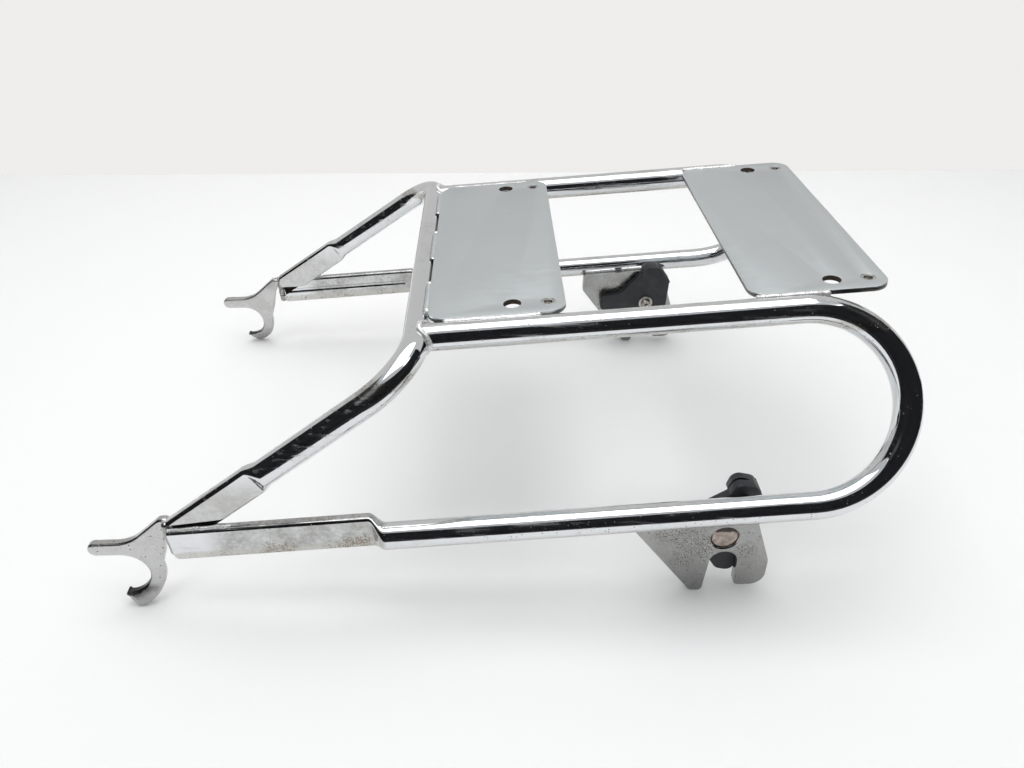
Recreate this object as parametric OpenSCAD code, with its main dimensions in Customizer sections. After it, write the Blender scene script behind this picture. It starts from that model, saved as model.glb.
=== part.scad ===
// Detachable tube rack that carries a motorbike's top box. The front is at -X and the
// left side at -Y. It stands on the lips of its two front hooks and the teeth of its two
// rear latch brackets. The deck, with both side loops, rises a little towards the rear.

/* [Tubes] */
// Outer diameter of every tube
tube_od = 16; // [14:0.5:18]
// Wall of every tube
tube_wall = 2; // [1.2:0.1:2.5]

/* [Deck] */
// Rise of the deck and the side loops towards the rear, degrees
deck_tilt = 4.3; // [3.8:0.1:4.8]
// Height of the upper tubes' centre lines, measured square to the deck
deck_h = 141.6; // [140:0.2:143]
// Half spacing of the upper tubes' centre lines
deck_half_w = 106.5; // [104:0.5:108]
// Crossbar's centre line, behind the hook tips
crossbar_x = 207.5; // [205:0.5:210]

/* [Side loops] */
// Radius of the rear bends, to the tube's centre line
bend_r = 55.5; // [54:0.5:57]
// Lean of each loop outwards, degrees from upright
loop_lean = 29.8; // [29:0.1:30.5]
// Start of the rear bends, behind the hook tips
bend_x = 424; // [417:0.5:431]
// Height of the flattened front stretch of each lower tube
bar_h = 22; // [20:0.5:23]
// Thickness of the flattened front stretch
bar_t = 7; // [6:0.5:8]
// Front end of the flattened stretch
bar_front_x = 57; // [56:0.5:58]
// Rear end of the flattened stretch
bar_rear_x = 172; // [166:0.5:178]
// Rise of the flattened stretch's middle over the tube's centre line
bar_lift = 1.6; // [0.5:0.1:2.5]

/* [Front hoop] */
// Fall of the legs towards the front, degrees
leg_slope = 35.3; // [34.8:0.1:35.8]
// Turn of the hoop's corners, degrees; under 90, the legs spread towards their ends
corner_turn = 85.5; // [84.5:0.1:86.5]
// Radius of the hoop's corners, to the tube's centre line
corner_r = 36; // [32:1:40]
// Straight stretch of the crossbar, past the upper tubes' centre lines
crossbar_over = 1; // [0:0.1:2.5]
// Length of the round stretch of each leg
leg_round_l = 71; // [66:1:76]
// Height of the flattened end of each leg
leg_flat_h = 19; // [18:0.5:20]
// Thickness of the flattened end of each leg
leg_flat_t = 8; // [7:0.5:9]

/* [Plates] */
// Plate size along the deck
plate_l = 79; // [74:0.5:84]
// Side edges of the plates, inwards of the upper tubes' centre lines
plate_inset = 4.5; // [3.5:0.1:6]
// Plate thickness
plate_t = 3; // [2.5:0.1:4]
// Plate corner radius
plate_corner = 11; // [8:0.5:14]
// Front plate's front edge, behind the crossbar's centre line
front_plate_gap = 6.5; // [6.2:0.1:7]
// Rear plate's front edge, ahead of the start of the rear bends
rear_plate_lead = 28.5; // [22:0.5:35]
// Top of the plates over the upper tubes' centre lines
plate_rise = 8.3; // [8.1:0.1:8.6]
// Plain hole diameter
hole_d = 10; // [8:0.5:11]
// Centres of the holes, inwards of the plate's side edges
hole_inset = 12; // [10:0.5:16]
// Rear row of holes, in front of the plate's rear edge
hole_edge = 10; // [8:0.5:12]
// Spacing of the two rows of holes
hole_pitch = 20.5; // [18:0.5:24]

/* [Welds] */
// Ends of the front plate's outer stitches, inwards of its side edges
stitch_inset = 14; // [10:0.5:18]
// Length of the left stitch
left_stitch_l = 30.5; // [26:0.5:36]
// Length of the middle stitch
mid_stitch_l = 38; // [32:0.5:44]
// Length of the right stitch
right_stitch_l = 33; // [26:0.5:36]
// Length of the weld along each side of the front plate
edge_weld_l = 52; // [46:0.5:58]
// Length of each weld on a bracket's top edge
bracket_weld_l = 24; // [20:0.5:28]
// Gap between the welds on a bracket
bracket_weld_gap = 8; // [5:0.5:12]

/* [Clinch nuts] */
// Thread core diameter of the clinch nuts
nut_bore_d = 5; // [4:0.1:5.5]
// Diameter of a clinch nut's collar in the plate
nut_collar_d = 8; // [7:0.1:9]
// Diameter of a clinch nut's head under the plate
nut_head_d = 11; // [10:0.5:12]
// Depth of a clinch nut's head
nut_head_h = 3.5; // [2:0.5:5]

/* [Hooks and latch brackets] */
// Thickness of the hook and bracket plates
dock_t = 5.5; // [5:0.1:6.5]
// Radius of the hooks' throats
throat_r = 14.1; // [13:0.1:15]
// Throat's centre behind the hook tips
throat_x = 18; // [17:0.1:19]
// Throat's centre above the floor
throat_z = 23.4; // [22.5:0.1:24.5]
// Outer radius of a hook's jaw
jaw_r = 25.4; // [25:0.1:27]
// Outward flare of the hooks' lower lips, degrees
lip_flare = 22; // [15:1:25]
// Height above the floor at which the flare begins
lip_bend_z = 17; // [15:0.5:19]
// Width of the hook's neck
neck_w = 6.2; // [5.5:0.1:7]
// Top of the hook's neck, over the top of the flattened stretch's front end
neck_over = 3.5; // [2:0.1:5]
// Bracket's front edge, ahead of the latch pivot
bracket_lead = 55.7; // [52:0.1:60]
// Width of the latch slot
slot_w = 17.2; // [15:0.1:18]
// Top of the latch slot above the floor
slot_top = 33; // [31:0.5:34]
// Latch pivot behind the hook tips
pivot_x = 376.2; // [375:0.2:377]
// Latch pivot above the floor
pivot_z = 44; // [43.5:0.5:45]

/* [Latch levers] */
// Diameter of the pivot pin's head in the bracket
pin_head_d = 16.4; // [15:0.1:17]
// Diameter of the pin's journal in the lever
journal_d = 9; // [8:0.1:10]
// Thickness of the lever's body
lever_t = 6.5; // [5.5:0.1:8]
// Width of the thumb grip
grip_w = 12.5; // [10:0.5:15]
// Turn of the left lever from the right one's place, degrees
left_turn = 13; // [0:1:20]
// Thickness of the wave washer under the lever
wave_t = 0.8; // [0.5:0.1:1]
// Diameter of the retaining washer
washer_d = 12.2; // [11.5:0.1:14]
// Thickness of the retaining washer
washer_t = 1; // [0.8:0.1:1.5]
// Diameter of the retaining screw's thread
screw_d = 5; // [4:0.5:5]
// Diameter of the screw's head
screw_head_d = 8.6; // [8:0.1:10]

/* [Hidden] */
$fn = 48;
LEFT = -1;
RIGHT = 1;

seat = 0.05;        // clearance between welded pieces
run = 0.08;         // running clearance of a pin in its hole, on radius
far = 400;          // longer than any piece that a cut has to pass
tube_r = tube_od / 2;
bore_r = tube_r - tube_wall;

// The side loop's centre lines, square to the deck
loop_drop = 2 * bend_r * cos(loop_lean);
loop_spread = 2 * bend_r * sin(loop_lean);
low_h = deck_h - loop_drop;
low_half_w = deck_half_w + loop_spread;
bend_reach = bend_r * sqrt(pow(cos(deck_tilt), 2) + pow(cos(loop_lean) * sin(deck_tilt), 2));
mid_h = (deck_h + low_h) / 2;
rear_end = bend_x * cos(deck_tilt) - mid_h * sin(deck_tilt) + bend_reach + tube_r;
centre_x = rear_end / 2;

inner_y = low_half_w - tube_r;             // plane of the lower tubes' inner sides
bar_y = inner_y + bar_t / 2;
bar_mid_h = low_h + bar_lift;
bar_top_h = bar_mid_h + bar_h / 2;
bar_corner = 2.4;
swage_l = 9;                               // from flattened to round

dock_out = inner_y - seat;                 // outer face of the hooks and brackets
dock_in = dock_out - dock_t;
plate_w = 2 * (deck_half_w - plate_inset);
hole_half_w = plate_w / 2 - hole_inset;
crossbar_half = deck_half_w + crossbar_over;
plate_top_h = deck_h + plate_rise;
plate_low_h = plate_top_h - plate_t;
front_plate_x = crossbar_x + front_plate_gap;
rear_plate_x = bend_x - rear_plate_lead;

lever_out = dock_in - wave_t - 0.1;
lever_in = lever_out - lever_t;
washer_in = lever_in - 0.1 - washer_t;

function unit(v) = v / norm(v);

// Outline whose corners [x, y, r] are rounded to r
function rounded(c, n = 6) = [
    for (i = [0 : len(c) - 1])
        let (p = [c[i][0], c[i][1]],
             q = c[(i + len(c) - 1) % len(c)],
             s = c[(i + 1) % len(c)],
             ua = unit([q[0], q[1]] - p),
             ub = unit([s[0], s[1]] - p),
             half = acos(ua * ub) / 2,
             m = p + unit(ua + ub) * c[i][2] / sin(half),
             va = p + ua * c[i][2] / tan(half) - m,
             vb = p + ub * c[i][2] / tan(half) - m,
             start = atan2(va[1], va[0]),
             gap = atan2(vb[1], vb[0]) - start,
             turn = gap > 180 ? gap - 360 : gap < -180 ? gap + 360 : gap)
            for (k = [0 : n]) m + c[i][2] * [cos(start + turn * k / n), sin(start + turn * k / n)]
];

module placed() {
    translate([-centre_x, 0, 0]) children();
}

// Along the deck, square to the deck
module on_deck() {
    placed() rotate([0, -deck_tilt, 0]) children();
}

module side(s) {
    mirror([0, s == LEFT ? 1 : 0, 0]) children();
}

// A side view drawn in x and z, made solid from y0 to y1
module upright(y0, y1) {
    translate([0, y1, 0]) rotate([90, 0, 0]) linear_extrude(y1 - y0) children();
}

module rod_x(r, x0, x1) {
    translate([x0, 0, 0]) rotate([0, 90, 0]) cylinder(r = r, h = x1 - x0);
}

module rod_y(r, y0, y1) {
    translate([0, y0, 0]) rotate([-90, 0, 0]) cylinder(r = r, h = y1 - y0);
}

// Section of a flattened tube, w wide and h high, corners r
module flat_section(w, h, r) {
    square([w - 2 * r, h], center = true);
    square([w, h - 2 * r], center = true);
    for (x = [-1, 1], y = [-1, 1])
        translate([x * (w / 2 - r), y * (h / 2 - r)]) circle(r);
}

// Flattened tube along x, its middle on the axis
module flat_x(w, h, r, x0, x1) {
    translate([x0, 0, 0]) rotate([90, 0, 90]) linear_extrude(x1 - x0) flat_section(w, h, r);
}

// Frame of a side loop in the deck's: its middle at the bend, upper run at -y, lower at +y
module on_loop() {
    translate([bend_x, deck_half_w + loop_spread / 2, mid_h]) rotate([loop_lean - 90, 0, 0])
        children();
}

// One side loop in the deck's own frame, as a solid of the given sizes
module loop_path(r, w, h, c, front_x) {
    swage_x = bar_rear_x + swage_l - bend_x;
    on_loop() {
        translate([0, -bend_r, 0]) rod_x(r, crossbar_x - bend_x, 0);
        rotate([0, 0, -90]) rotate_extrude(angle = 180) translate([bend_r, 0]) circle(r);
        translate([0, bend_r, 0]) rod_x(r, swage_x, 0);
    }
    hull() {
        on_loop() translate([0, bend_r, 0]) rod_x(r - 0.1, swage_x - 0.01, swage_x + 2, $fn = 32);
        translate([0, bar_y, bar_mid_h]) flat_x(w, h, c, bar_rear_x, bar_rear_x + 0.01, $fn = 32);
    }
    translate([0, bar_y, bar_mid_h]) flat_x(w, h, c, front_x, bar_rear_x + 0.01);
}

// The front corner of the flattened stretch: lower corner rounded, inner wall cut on the slant
module bar_end_cut() {
    bar_low_h = bar_top_h - bar_h;
    corner = 5;
    upright(bar_y - bar_t, bar_y + bar_t) difference() {
        translate([bar_front_x - 1, bar_low_h - 1]) square(corner + 1);
        translate([bar_front_x + corner, bar_low_h + corner]) circle(corner);
    }
    upright(bar_y - bar_t, bar_y - bar_t / 2 + tube_wall + 0.3)
        polygon([[bar_front_x - 12, bar_low_h - 1], [bar_front_x + 21, bar_top_h - 3],
                 [bar_front_x + 21, bar_top_h + 1], [bar_front_x - 12, bar_top_h + 1]]);
}

module side_tube() {
    color("Gainsboro") on_deck() difference() {
        loop_path(tube_r, bar_t, bar_h, bar_corner, bar_front_x);
        loop_path(bore_r, bar_t - 2 * tube_wall, bar_h - 2 * tube_wall, 1, bar_front_x - 1);
        translate([crossbar_x, 0, deck_h]) rod_y(tube_r + seat, 0, far);
        bar_end_cut();
        // Crease that the flattening left along the inner face
        translate([0, inner_y - 2, bar_mid_h]) rod_x(3, bar_front_x - 1, bar_rear_x - 6);
    }
}

// Frame of the hoop: crossbar along y, legs towards -x
module on_hoop() {
    on_deck() translate([crossbar_x, 0, deck_h]) rotate([0, deck_tilt - leg_slope, 0]) children();
}

module hoop_half(r, w, h, c) {
    flat_from = leg_round_l + swage_l;
    flat_l = 78;
    translate([-corner_r, crossbar_half, 0]) {
        rotate_extrude(angle = corner_turn) translate([corner_r, 0]) circle(r);
        rotate([0, 0, corner_turn]) translate([corner_r, 0, 0]) {
            rod_y(r, 0, leg_round_l);
            hull() {
                rod_y(r, leg_round_l - 0.01, leg_round_l, $fn = 32);
                upright(flat_from, flat_from + 0.01) flat_section(w, h, c, $fn = 32);
            }
            upright(flat_from, flat_from + flat_l) flat_section(w, h, c);
        }
    }
}

module hoop_path(r, w, h, c) {
    rod_y(r, -crossbar_half, crossbar_half);
    for (s = [LEFT, RIGHT]) side(s) hoop_half(r, w, h, c);
}

// What is cut from the legs' ends: they sit on the bars and lap over their inner faces
module leg_end_cut() {
    lap = 5;
    open_gap = 1.2;
    for (s = [LEFT, RIGHT]) side(s) {
        translate([0, inner_y - seat, 0]) cube([bar_rear_x, far, bar_top_h + open_gap]);
        translate([0, bar_y - far, 0]) cube([bar_rear_x, far, bar_top_h - lap]);
        translate([0, bar_y - far / 4, 0]) cube([bar_front_x, far / 2, far]);
    }
}

module front_hoop() {
    color("Gainsboro") difference() {
        on_hoop() difference() {
            hoop_path(tube_r, leg_flat_t, leg_flat_h, 2.6);
            hoop_path(bore_r, leg_flat_t - 2 * tube_wall, leg_flat_h - 2 * tube_wall, 1.2);
        }
        on_deck() leg_end_cut();
    }
}

// Plate with its four holes, in the deck's frame, its front edge at x
module deck_plate(x) {
    row = x + plate_l - hole_edge;
    difference() {
        translate([x + plate_l / 2, 0, plate_low_h])
            linear_extrude(plate_t) flat_section(plate_l, plate_w, plate_corner);
        for (y = [-hole_half_w, hole_half_w]) {
            translate([row - hole_pitch, y, 0]) cylinder(d = hole_d, h = far);
            translate([row, y, 0]) cylinder(d = nut_collar_d + 2 * seat, h = far);
        }
        for (s = [LEFT, RIGHT]) side(s)
            translate([0, deck_half_w, deck_h]) rod_x(tube_r + seat, crossbar_x, bend_x + tube_r);
    }
}

module front_plate() {
    color("LightSteelBlue") on_deck() deck_plate(front_plate_x);
}

module rear_plate() {
    color("LightSteelBlue") on_deck() deck_plate(rear_plate_x);
}

// Threaded nut pressed into the plate from below
module clinch_nut(s, x) {
    color("Silver") on_deck() side(s)
        translate([x + plate_l - hole_edge, hole_half_w, plate_low_h]) difference() {
            union() {
                translate([0, 0, -nut_head_h]) cylinder(d = nut_head_d, h = nut_head_h - seat);
                translate([0, 0, -nut_head_h]) cylinder(d = nut_collar_d, h = nut_head_h + plate_t - 0.2);
            }
            translate([0, 0, -nut_head_h - 1]) cylinder(d = nut_bore_d, h = nut_head_h + plate_t + 2);
        }
}

// Hook's finger, reaching forward over the throat, and its neck up to the tubes
module finger_outline() {
    finger_h = 9.2;
    neck_x = bar_front_x * cos(deck_tilt) - bar_top_h * sin(deck_tilt) - 0.3;
    neck_z = bar_front_x * sin(deck_tilt) + bar_top_h * cos(deck_tilt) + neck_over;
    polygon(rounded([[0, throat_z, 0.5],
                     [0, throat_z + throat_r + finger_h, finger_h / 2],
                     [25, throat_z + throat_r + finger_h + 1.2, 24],
                     [neck_x - neck_w, neck_z, 2], [neck_x, neck_z, 0.5],
                     [neck_x - 5.2, 54, 8], [45.6, 36, 6], [throat_x, throat_z, 0.5]]));
}

// Hook before its bend: finger, round throat and shorter lower lip
module hook_block(y0, y1) {
    lip_r = (throat_z - throat_r) / 2;
    difference() {
        union() {
            upright(y0, y1) finger_outline();
            intersection() {
                translate([throat_x + 0.8, 0, jaw_r]) rod_y(jaw_r, y0, y1);
                translate([0, y0, 0]) cube([far, y1 - y0, throat_z + throat_r]);
            }
        }
        translate([throat_x, 0, throat_z]) rod_y(throat_r, y0 - 1, y1 + 1);
        translate([-1, y0 - 1, -1]) cube([throat_x + 1, y1 - y0 + 2, throat_z + throat_r + 1]);
    }
    translate([throat_x + 0.3, 0, lip_r]) rod_y(lip_r, y0, y1);
}

module hook(s) {
    flare = lip_bend_z * tan(lip_flare);
    color("Silver") placed() side(s) intersection() {
        hook_block(dock_in - 20, dock_out + 20);
        rotate([90, 0, 90]) linear_extrude(far)
            polygon([[dock_in, far], [dock_out, far], [dock_out, lip_bend_z],
                     [dock_out + flare, 0], [dock_in + flare, 0], [dock_in, lip_bend_z]]);
    }
}

// Height of the lower tube's centre line above the floor
function low_z(x) = low_h / cos(deck_tilt) + x * tan(deck_tilt);

module bracket_outline() {
    slot_x = pivot_x + 1.6;
    slot_mid_z = slot_top - slot_w / 2;
    front_x = pivot_x - bracket_lead;
    rear_x = slot_x + slot_w / 2 + 19.2;
    foot_z = 4.4;
    lap = 1;
    difference() {
        polygon(rounded([[front_x, low_z(front_x) + lap, 2], [front_x, 52.5, 3],
                         [slot_x - slot_w / 2 - 9.2, 0, 3.2], [slot_x - slot_w / 2 - 1.8, 0, 3.2],
                         [slot_x - slot_w / 2, slot_mid_z, 0.5],
                         [slot_x + slot_w / 2, slot_mid_z, 0.5],
                         [slot_x + slot_w / 2 + 0.4, foot_z, 3], [rear_x, foot_z, 9],
                         [rear_x - 0.2, 25, 9], [rear_x - 11.5, 57, 5],
                         [rear_x - 20, low_z(rear_x - 20) + lap, 3]]));
        translate([slot_x, slot_mid_z]) circle(slot_w / 2);
    }
}

module at_pivot() {
    translate([pivot_x, 0, pivot_z]) children();
}

module latch_bracket(s) {
    hole_r = pin_head_d / 2 + seat;
    color("Silver") placed() side(s) difference() {
        upright(dock_in, dock_out) bracket_outline();
        at_pivot() rod_y(hole_r, dock_in - 1, dock_out + 1);
        at_pivot() translate([0, dock_out - 0.8, 0]) rotate([-90, 0, 0])
            cylinder(r1 = hole_r, r2 = hole_r + 0.9, h = 0.9);
    }
}

// Pivot pin: head in the bracket, journal in the lever, tapped for the screw
module pivot_pin(s) {
    head_end = dock_out - 1.2;
    color("Tan") placed() side(s) at_pivot() difference() {
        union() {
            rod_y(pin_head_d / 2, dock_in, head_end - 0.5);
            translate([0, head_end - 0.5, 0]) rotate([-90, 0, 0])
                cylinder(d1 = pin_head_d, d2 = pin_head_d - 1, h = 0.5);
            rod_y(journal_d / 2, lever_in - 0.05, dock_in + 0.01);
        }
        rod_y(screw_d / 2 + seat, lever_in - 1, lever_in + 8);
    }
}

module ring_y(r_in, r_out, y0, y1) {
    difference() {
        rod_y(r_out, y0, y1);
        rod_y(r_in, y0 - 1, y1 + 1);
    }
}

module wave_washer(s) {
    color("DarkGray") placed() side(s) at_pivot()
        ring_y(journal_d / 2 + 0.15, journal_d / 2 + 3.5, lever_out + 0.05, dock_in - 0.05);
}

module washer(s) {
    color("DarkGray") placed() side(s) at_pivot()
        ring_y(screw_d / 2 + 0.1, washer_d / 2, washer_in, washer_in + washer_t);
}

// Button head screw with a hexagon socket
module screw(s) {
    head_h = 2.6;
    socket = 3.4;
    color("Gray") placed() side(s) at_pivot() difference() {
        union() {
            rod_y(screw_d / 2, washer_in - 0.5, lever_in + 7);
            translate([0, washer_in - seat - head_h, 0]) rotate([-90, 0, 0])
                cylinder(d1 = screw_head_d - 2.4, d2 = screw_head_d, h = head_h);
        }
        translate([0, washer_in - head_h - 1, 0]) rotate([-90, 0, 0])
            cylinder(d = socket, h = head_h, $fn = 6);
    }
}

// Lever round its pivot: arm forward, thumb grip up, cam lobe down
module lever_outline() {
    polygon(rounded([[-40.5, 6.2, 4], [-24.5, 7.4, 12], [-6, 27.5, 5], [-5, 36.5, 5.5],
                     [8.5, 36.4, 6], [19.4, 21, 9], [18.2, -8, 12], [17.6, -31, 5],
                     [7, -31, 6], [-3, -21, 6], [-12, -11, 9], [-40.5, -7, 5]]));
}

module grip_outline() {
    polygon(rounded([[-5.4, 26, 3], [-5, 36.5, 5.5], [8.5, 36.4, 6], [19.4, 21, 9], [9, 13, 3]]));
}

module latch_lever(s) {
    color([0.14, 0.15, 0.17]) placed() side(s) at_pivot()
        rotate([0, s == LEFT ? left_turn : 0, 0]) difference() {
            union() {
                upright(lever_in, lever_out) lever_outline();
                upright(lever_out - grip_w, lever_in + 1) grip_outline();
            }
            rod_y(journal_d / 2 + run, 0, far);
        }
}

// A run of weld along the deck between a plate's side edge and the upper tube
module edge_bead(x0, x1) {
    translate([0, plate_w / 2 + 1, plate_top_h - 1.4]) rod_x(2.1, x0, x1);
}

// What the beads leave free: the plate and all that lies on it
module plate_room(x) {
    translate([x - seat, -plate_w / 2 - seat, plate_low_h - seat])
        cube([plate_l + 2 * seat, plate_w + 2 * seat, far]);
}

module front_plate_welds() {
    stitch_end = plate_w / 2 - stitch_inset;
    stitch_y = [[-stitch_end, left_stitch_l - stitch_end],
                [-mid_stitch_l / 2, mid_stitch_l / 2],
                [stitch_end - right_stitch_l, stitch_end]];
    edge_x = front_plate_x + plate_corner;
    color("WhiteSmoke") on_deck() difference() {
        union() {
            for (s = [LEFT, RIGHT]) side(s) edge_bead(edge_x, edge_x + edge_weld_l);
            for (y = stitch_y)
                translate([front_plate_x - 1.2, 0, plate_top_h - 1.8]) rod_y(2, y[0], y[1]);
        }
        plate_room(front_plate_x);
        translate([crossbar_x, 0, deck_h]) rod_y(tube_r + seat, -crossbar_half, crossbar_half);
        for (s = [LEFT, RIGHT]) side(s)
            translate([0, deck_half_w, deck_h]) rod_x(tube_r + seat, crossbar_x, bend_x);
    }
}

module rear_plate_welds() {
    color("WhiteSmoke") on_deck() difference() {
        for (s = [LEFT, RIGHT]) side(s) edge_bead(rear_plate_x + 4, bend_x - 0.5);
        plate_room(rear_plate_x);
        for (s = [LEFT, RIGHT]) side(s)
            translate([0, deck_half_w, deck_h]) rod_x(tube_r + seat, crossbar_x, bend_x + tube_r);
    }
}

// Weld in the corner between the hook's outer face and the tubes' front ends
module hook_weld(s) {
    color("WhiteSmoke") on_deck() side(s) intersection() {
        translate([bar_front_x - 1.6, dock_out + 1, bar_top_h - bar_h + 6]) cylinder(r = 3.2, h = bar_h);
        translate([0, dock_out + seat, 0]) cube([bar_front_x - seat, far, far]);
    }
}

// Stitches along the bracket's top edge, under the tube's side
module bracket_welds(s) {
    from_x = pivot_x - bracket_lead + 7.5;
    color("WhiteSmoke") on_deck() side(s) difference() {
        for (x = [from_x, from_x + bracket_weld_l + bracket_weld_gap])
            translate([0, dock_out - 1.4, low_h + 1.9]) rod_x(1.9, x, x + bracket_weld_l);
        translate([0, low_half_w, low_h]) rod_x(tube_r + seat, bar_rear_x + swage_l, bend_x);
        translate([0, 0, low_h - far + 1.3]) cube([far, far, far]);
    }
}

// Ring of weld where the side tube meets the crossbar
module corner_weld(s) {
    color("WhiteSmoke") on_deck() side(s) difference() {
        translate([crossbar_x + tube_r - 0.5, deck_half_w, deck_h]) rotate([0, 90, 0])
            rotate_extrude() translate([tube_r + 0.4, 0]) circle(1.7);
        translate([0, deck_half_w, deck_h]) rod_x(tube_r + seat, crossbar_x, bend_x);
        translate([crossbar_x, 0, deck_h]) rod_y(tube_r + seat, 0, far);
        plate_room(front_plate_x);
    }
}

front_hoop();
side(LEFT) side_tube();  // left_side_tube
side(RIGHT) side_tube();  // right_side_tube
front_plate();
rear_plate();
clinch_nut(LEFT, front_plate_x);  // left_front_clinch_nut
clinch_nut(RIGHT, front_plate_x);  // right_front_clinch_nut
clinch_nut(LEFT, rear_plate_x);  // left_rear_clinch_nut
clinch_nut(RIGHT, rear_plate_x);  // right_rear_clinch_nut
hook(LEFT);  // left_hook
hook(RIGHT);  // right_hook
latch_bracket(LEFT);  // left_latch_bracket
latch_bracket(RIGHT);  // right_latch_bracket
pivot_pin(LEFT);  // left_pivot_pin
pivot_pin(RIGHT);  // right_pivot_pin
wave_washer(LEFT);  // left_wave_washer
wave_washer(RIGHT);  // right_wave_washer
latch_lever(LEFT);  // left_latch_lever
latch_lever(RIGHT);  // right_latch_lever
washer(LEFT);  // left_washer
washer(RIGHT);  // right_washer
screw(LEFT);  // left_screw
screw(RIGHT);  // right_screw
front_plate_welds();
rear_plate_welds();
hook_weld(LEFT);  // left_hook_weld
hook_weld(RIGHT);  // right_hook_weld
bracket_welds(LEFT);  // left_bracket_welds
bracket_welds(RIGHT);  // right_bracket_welds
corner_weld(LEFT);  // left_corner_weld
corner_weld(RIGHT);  // right_corner_weld
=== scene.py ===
import bpy
import bmesh
import functools
import math
import random
from contextlib import contextmanager
from mathutils import Vector, Matrix


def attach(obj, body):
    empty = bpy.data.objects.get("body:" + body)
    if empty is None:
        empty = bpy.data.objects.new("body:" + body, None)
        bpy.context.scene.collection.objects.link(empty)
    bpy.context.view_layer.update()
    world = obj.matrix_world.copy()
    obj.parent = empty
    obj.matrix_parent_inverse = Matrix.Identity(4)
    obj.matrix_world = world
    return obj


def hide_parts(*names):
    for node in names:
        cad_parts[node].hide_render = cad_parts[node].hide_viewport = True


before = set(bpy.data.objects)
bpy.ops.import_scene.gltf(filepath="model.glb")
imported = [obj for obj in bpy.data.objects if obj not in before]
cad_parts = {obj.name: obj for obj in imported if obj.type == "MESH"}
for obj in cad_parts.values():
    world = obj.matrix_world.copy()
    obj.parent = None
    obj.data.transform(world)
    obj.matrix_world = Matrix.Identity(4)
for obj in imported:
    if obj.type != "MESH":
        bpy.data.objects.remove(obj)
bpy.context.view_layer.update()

print("frame loaded:", len(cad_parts), "solids")

scene = bpy.context.scene
scene.view_settings.view_transform = "Standard"
collection = scene.collection


# Sizes, in millimetres as in the part's source

tube = {"radius": 8.0, "wall": 2.0}
deck = {"tilt": 4.3, "height": 141.6, "halfWidth": 106.5, "crossbarX": 207.5}
loop = {"bendRadius": 55.5, "lean": 29.8, "bendX": 424.0, "swage": 9.0,
        "barFront": 57.0, "barRear": 172.0, "barHeight": 22.0, "barThick": 7.0, "barLift": 1.6,
        "barCorner": 2.4}
hoop = {"slope": 35.3, "turn": 85.5, "cornerRadius": 36.0, "crossHalf": 107.5, "roundLength": 71.0,
        "swage": 9.0, "flatHeight": 19.0, "flatThick": 8.0, "flatCorner": 2.6, "flatLength": 78.0}
plate = {"length": 79.0, "width": 204.0, "thick": 3.0, "rise": 8.3, "frontX": 214.0, "rearX": 395.5,
         "holeEdge": 10.0, "holePitch": 20.5, "holeHalf": 90.0}
dock = {"thick": 5.5, "seat": 0.05}
pivot = {"x": 376.2, "z": 44.0, "leftTurn": 13.0}

tiltCos = math.cos(math.radians(deck["tilt"]))
tiltSin = math.sin(math.radians(deck["tilt"]))
leanCos = math.cos(math.radians(loop["lean"]))
leanSin = math.sin(math.radians(loop["lean"]))
loopSpread = 2 * loop["bendRadius"] * leanSin
lowHeight = deck["height"] - 2 * loop["bendRadius"] * leanCos
lowHalfWidth = deck["halfWidth"] + loopSpread
midHeight = (deck["height"] + lowHeight) / 2
bendReach = loop["bendRadius"] * math.hypot(tiltCos, leanCos * tiltSin)
rearEnd = loop["bendX"] * tiltCos - midHeight * tiltSin + bendReach + tube["radius"]
centreX = rearEnd / 2
innerY = lowHalfWidth - tube["radius"]
barY = innerY + loop["barThick"] / 2
barMid = lowHeight + loop["barLift"]
barTop = barMid + loop["barHeight"] / 2
plateTop = deck["height"] + plate["rise"]
dockOut = innerY - dock["seat"]
dockIn = dockOut - dock["thick"]


def deckPoint(x, y, h):  # deck's own frame to the row frame, in metres
    return Vector((x * tiltCos - h * tiltSin - centreX, y, x * tiltSin + h * tiltCos)) / 1000


def hoopPoint(u, v, w):  # hoop's own frame: crossbar along v, legs towards -u
    c, s = math.cos(math.radians(hoop["slope"])), math.sin(math.radians(hoop["slope"]))
    base = deckPoint(deck["crossbarX"], 0, deck["height"]) * 1000
    return Vector((base.x + u * c - w * s, v, base.z + u * s + w * c)) / 1000


def rowPoint(x, y, z):  # behind the hook tips and above the floor, to the row frame
    return Vector((x - centreX, y, z)) / 1000


def deckX(*places):  # along the deck, to the row frame's x
    return [deckPoint(x, 0, 0).x for x in places]


def newMesh(name, verts, faces):
    mesh = bpy.data.meshes.new(name)
    mesh.from_pydata([tuple(v) for v in verts], [], faces)
    mesh.validate()
    obj = bpy.data.objects.new(name, mesh)
    collection.objects.link(obj)
    return obj


@contextmanager
def meshEdit(obj):
    work = bmesh.new()
    work.from_mesh(obj.data)
    yield work
    work.to_mesh(obj.data)
    work.free()


def fixNormals(obj):
    with meshEdit(obj) as work:
        bmesh.ops.remove_doubles(work, verts=work.verts, dist=1e-6)
        bmesh.ops.recalc_face_normals(work, faces=work.faces)
    return obj


def smoothByAngle(obj, degrees=40):
    obj.data.polygons.foreach_set("use_smooth", [True] * len(obj.data.polygons))
    with meshEdit(obj) as work:
        for edge in work.edges:
            if len(edge.link_faces) == 2:
                edge.smooth = edge.calc_face_angle(0) < math.radians(degrees)
    return obj


def applyModifiers(obj):
    graph = bpy.context.evaluated_depsgraph_get()
    graph.update()
    mesh = bpy.data.meshes.new_from_object(obj.evaluated_get(graph))
    old = obj.data
    obj.modifiers.clear()
    obj.data = mesh
    bpy.data.meshes.remove(old)
    return obj


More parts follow.
